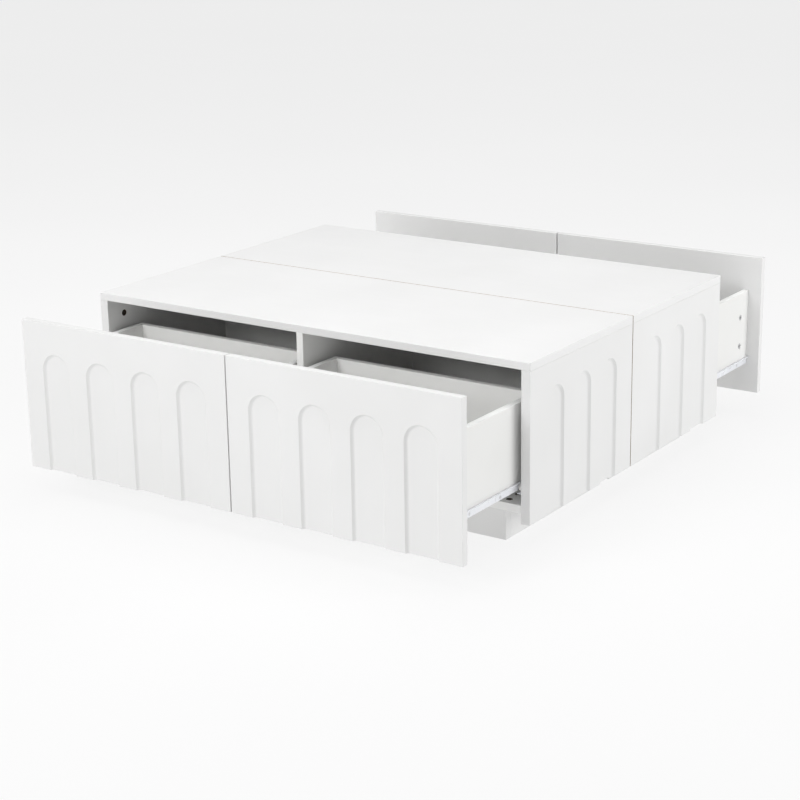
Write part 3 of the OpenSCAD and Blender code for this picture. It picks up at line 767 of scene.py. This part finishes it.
KEPT_FITTINGS = {
    # cam heads take the darkened metal: painted shade in the bores
    "carcass_cam_locks": CAM_PAINTED_SHADE,
    "carcass_cam_bolts": PLATED_STEEL,
    "carcass_dowels": BEECH,
    "plinth_screws": PLATED_STEEL,
    "runner_screws": PLATED_STEEL,
    "unit_sleeve_bolts": PLATED_STEEL,
    **{f"drawer_{drawer}_fittings": CAST_ZINC for drawer in DRAWERS},
}
for node, material in KEPT_FITTINGS.items():
    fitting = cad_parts[node]
    if not fitting.material_slots:
        fitting.data.materials.append(material)
    for material_slot in fitting.material_slots:
        material_slot.material = material


# ---------- floor, light and camera ----------


def pale_floor():
    """A wide flat floor just under the plinths."""
    side = np.linspace(-20, 20, 9)
    x, y = np.meshgrid(side, side, indexing="ij")
    points = np.stack([x.ravel(), y.ravel(), np.full(x.size, -0.3 * MM)], axis=1)
    mesh = bpy.data.meshes.new("studio_floor")
    mesh.from_pydata(points.tolist(), [], grid_faces(len(side), len(side))[:, ::-1].tolist())
    material, nodes, links, shader = new_material("studio_floor")
    cloud = noise_on(nodes, links, 0.6, detail=1)
    links.new(colour_between(nodes, links, cloud, (0.11, 0.11, 0.11), (0.13, 0.13, 0.13)),
              shader.inputs["Base Color"])
    shader.inputs["Roughness"].default_value = 0.9
    shader.inputs["Specular IOR Level"].default_value = 0.1
    shader.inputs["Emission Color"].default_value = (1, 1, 1, 1)
    shader.inputs["Emission Strength"].default_value = FLOOR_GLOW
    mesh.materials.append(material)
    floor = bpy.data.objects.new("studio_floor", mesh)
    bpy.context.scene.collection.objects.link(floor)


def soft_light(name, place, target, size, power):
    """A square area light that faces its target."""
    light = bpy.data.lights.new(name, "AREA")
    light.size = size
    light.energy = power
    lamp = bpy.data.objects.new(name, light)
    lamp.location = place
    lamp.rotation_euler = (Vector(target) - Vector(place)).to_track_quat("-Z", "Y").to_euler()
    bpy.context.scene.collection.objects.link(lamp)


def white_room(strength):
    """A room that is bright at the horizon and falls off towards the ceiling."""
    world = bpy.data.worlds.new("white_room")
    world.use_nodes = True
    nodes, links = world.node_tree.nodes, world.node_tree.links
    background = nodes["Background"]
    background.inputs["Strength"].default_value = strength
    direction = nodes.new("ShaderNodeTexCoord")
    split = nodes.new("ShaderNodeSeparateXYZ")
    height = nodes.new("ShaderNodeValToRGB")
    levels = height.color_ramp.elements
    levels[0].position = 0.03
    levels[0].color = (HORIZON, HORIZON, HORIZON, 1)
    levels[1].position = 0.45
    levels[1].color = (0.1, 0.1, 0.1, 1)
    wall = levels.new(0.12)
    wall.color = (0.5, 0.5, 0.5, 1)
    links.new(direction.outputs["Generated"], split.inputs["Vector"])
    links.new(split.outputs["Z"], height.inputs["Fac"])
    links.new(height.outputs["Color"], background.inputs["Color"])
    bpy.context.scene.world = world


def camera_at(place, yaw, pitch, roll, lens):
    """A level camera turned left by yaw, tipped down by pitch and rolled, all in degrees."""
    yaw, pitch, roll = (math.radians(angle) for angle in (yaw, pitch, roll))
    ahead = Vector((-math.sin(yaw) * math.cos(pitch), math.cos(yaw) * math.cos(pitch),
                    -math.sin(pitch)))
    level = Vector((math.cos(yaw), math.sin(yaw), 0))
    above = level.cross(ahead)
    right = math.cos(roll) * level + math.sin(roll) * above
    upright = -math.sin(roll) * level + math.cos(roll) * above
    data = bpy.data.cameras.new("camera")
    data.lens = lens
    data.sensor_width = 36
    camera = bpy.data.objects.new("camera", data)
    turned = Matrix((right, upright, -ahead)).transposed().to_4x4()
    camera.matrix_world = Matrix.Translation(place) @ turned
    bpy.context.scene.collection.objects.link(camera)
    bpy.context.scene.camera = camera


pale_floor()
white_room(ROOM_LIGHT)
for name, (place, size, power) in SOFTBOXES.items():
    soft_light(name, place, (0, 0, 0.25), size, power)
camera_at((2.562, -3.787, 1.527), 34.52, 17.04, -0.94, 87.17)
bpy.context.scene.view_settings.view_transform = "Standard"
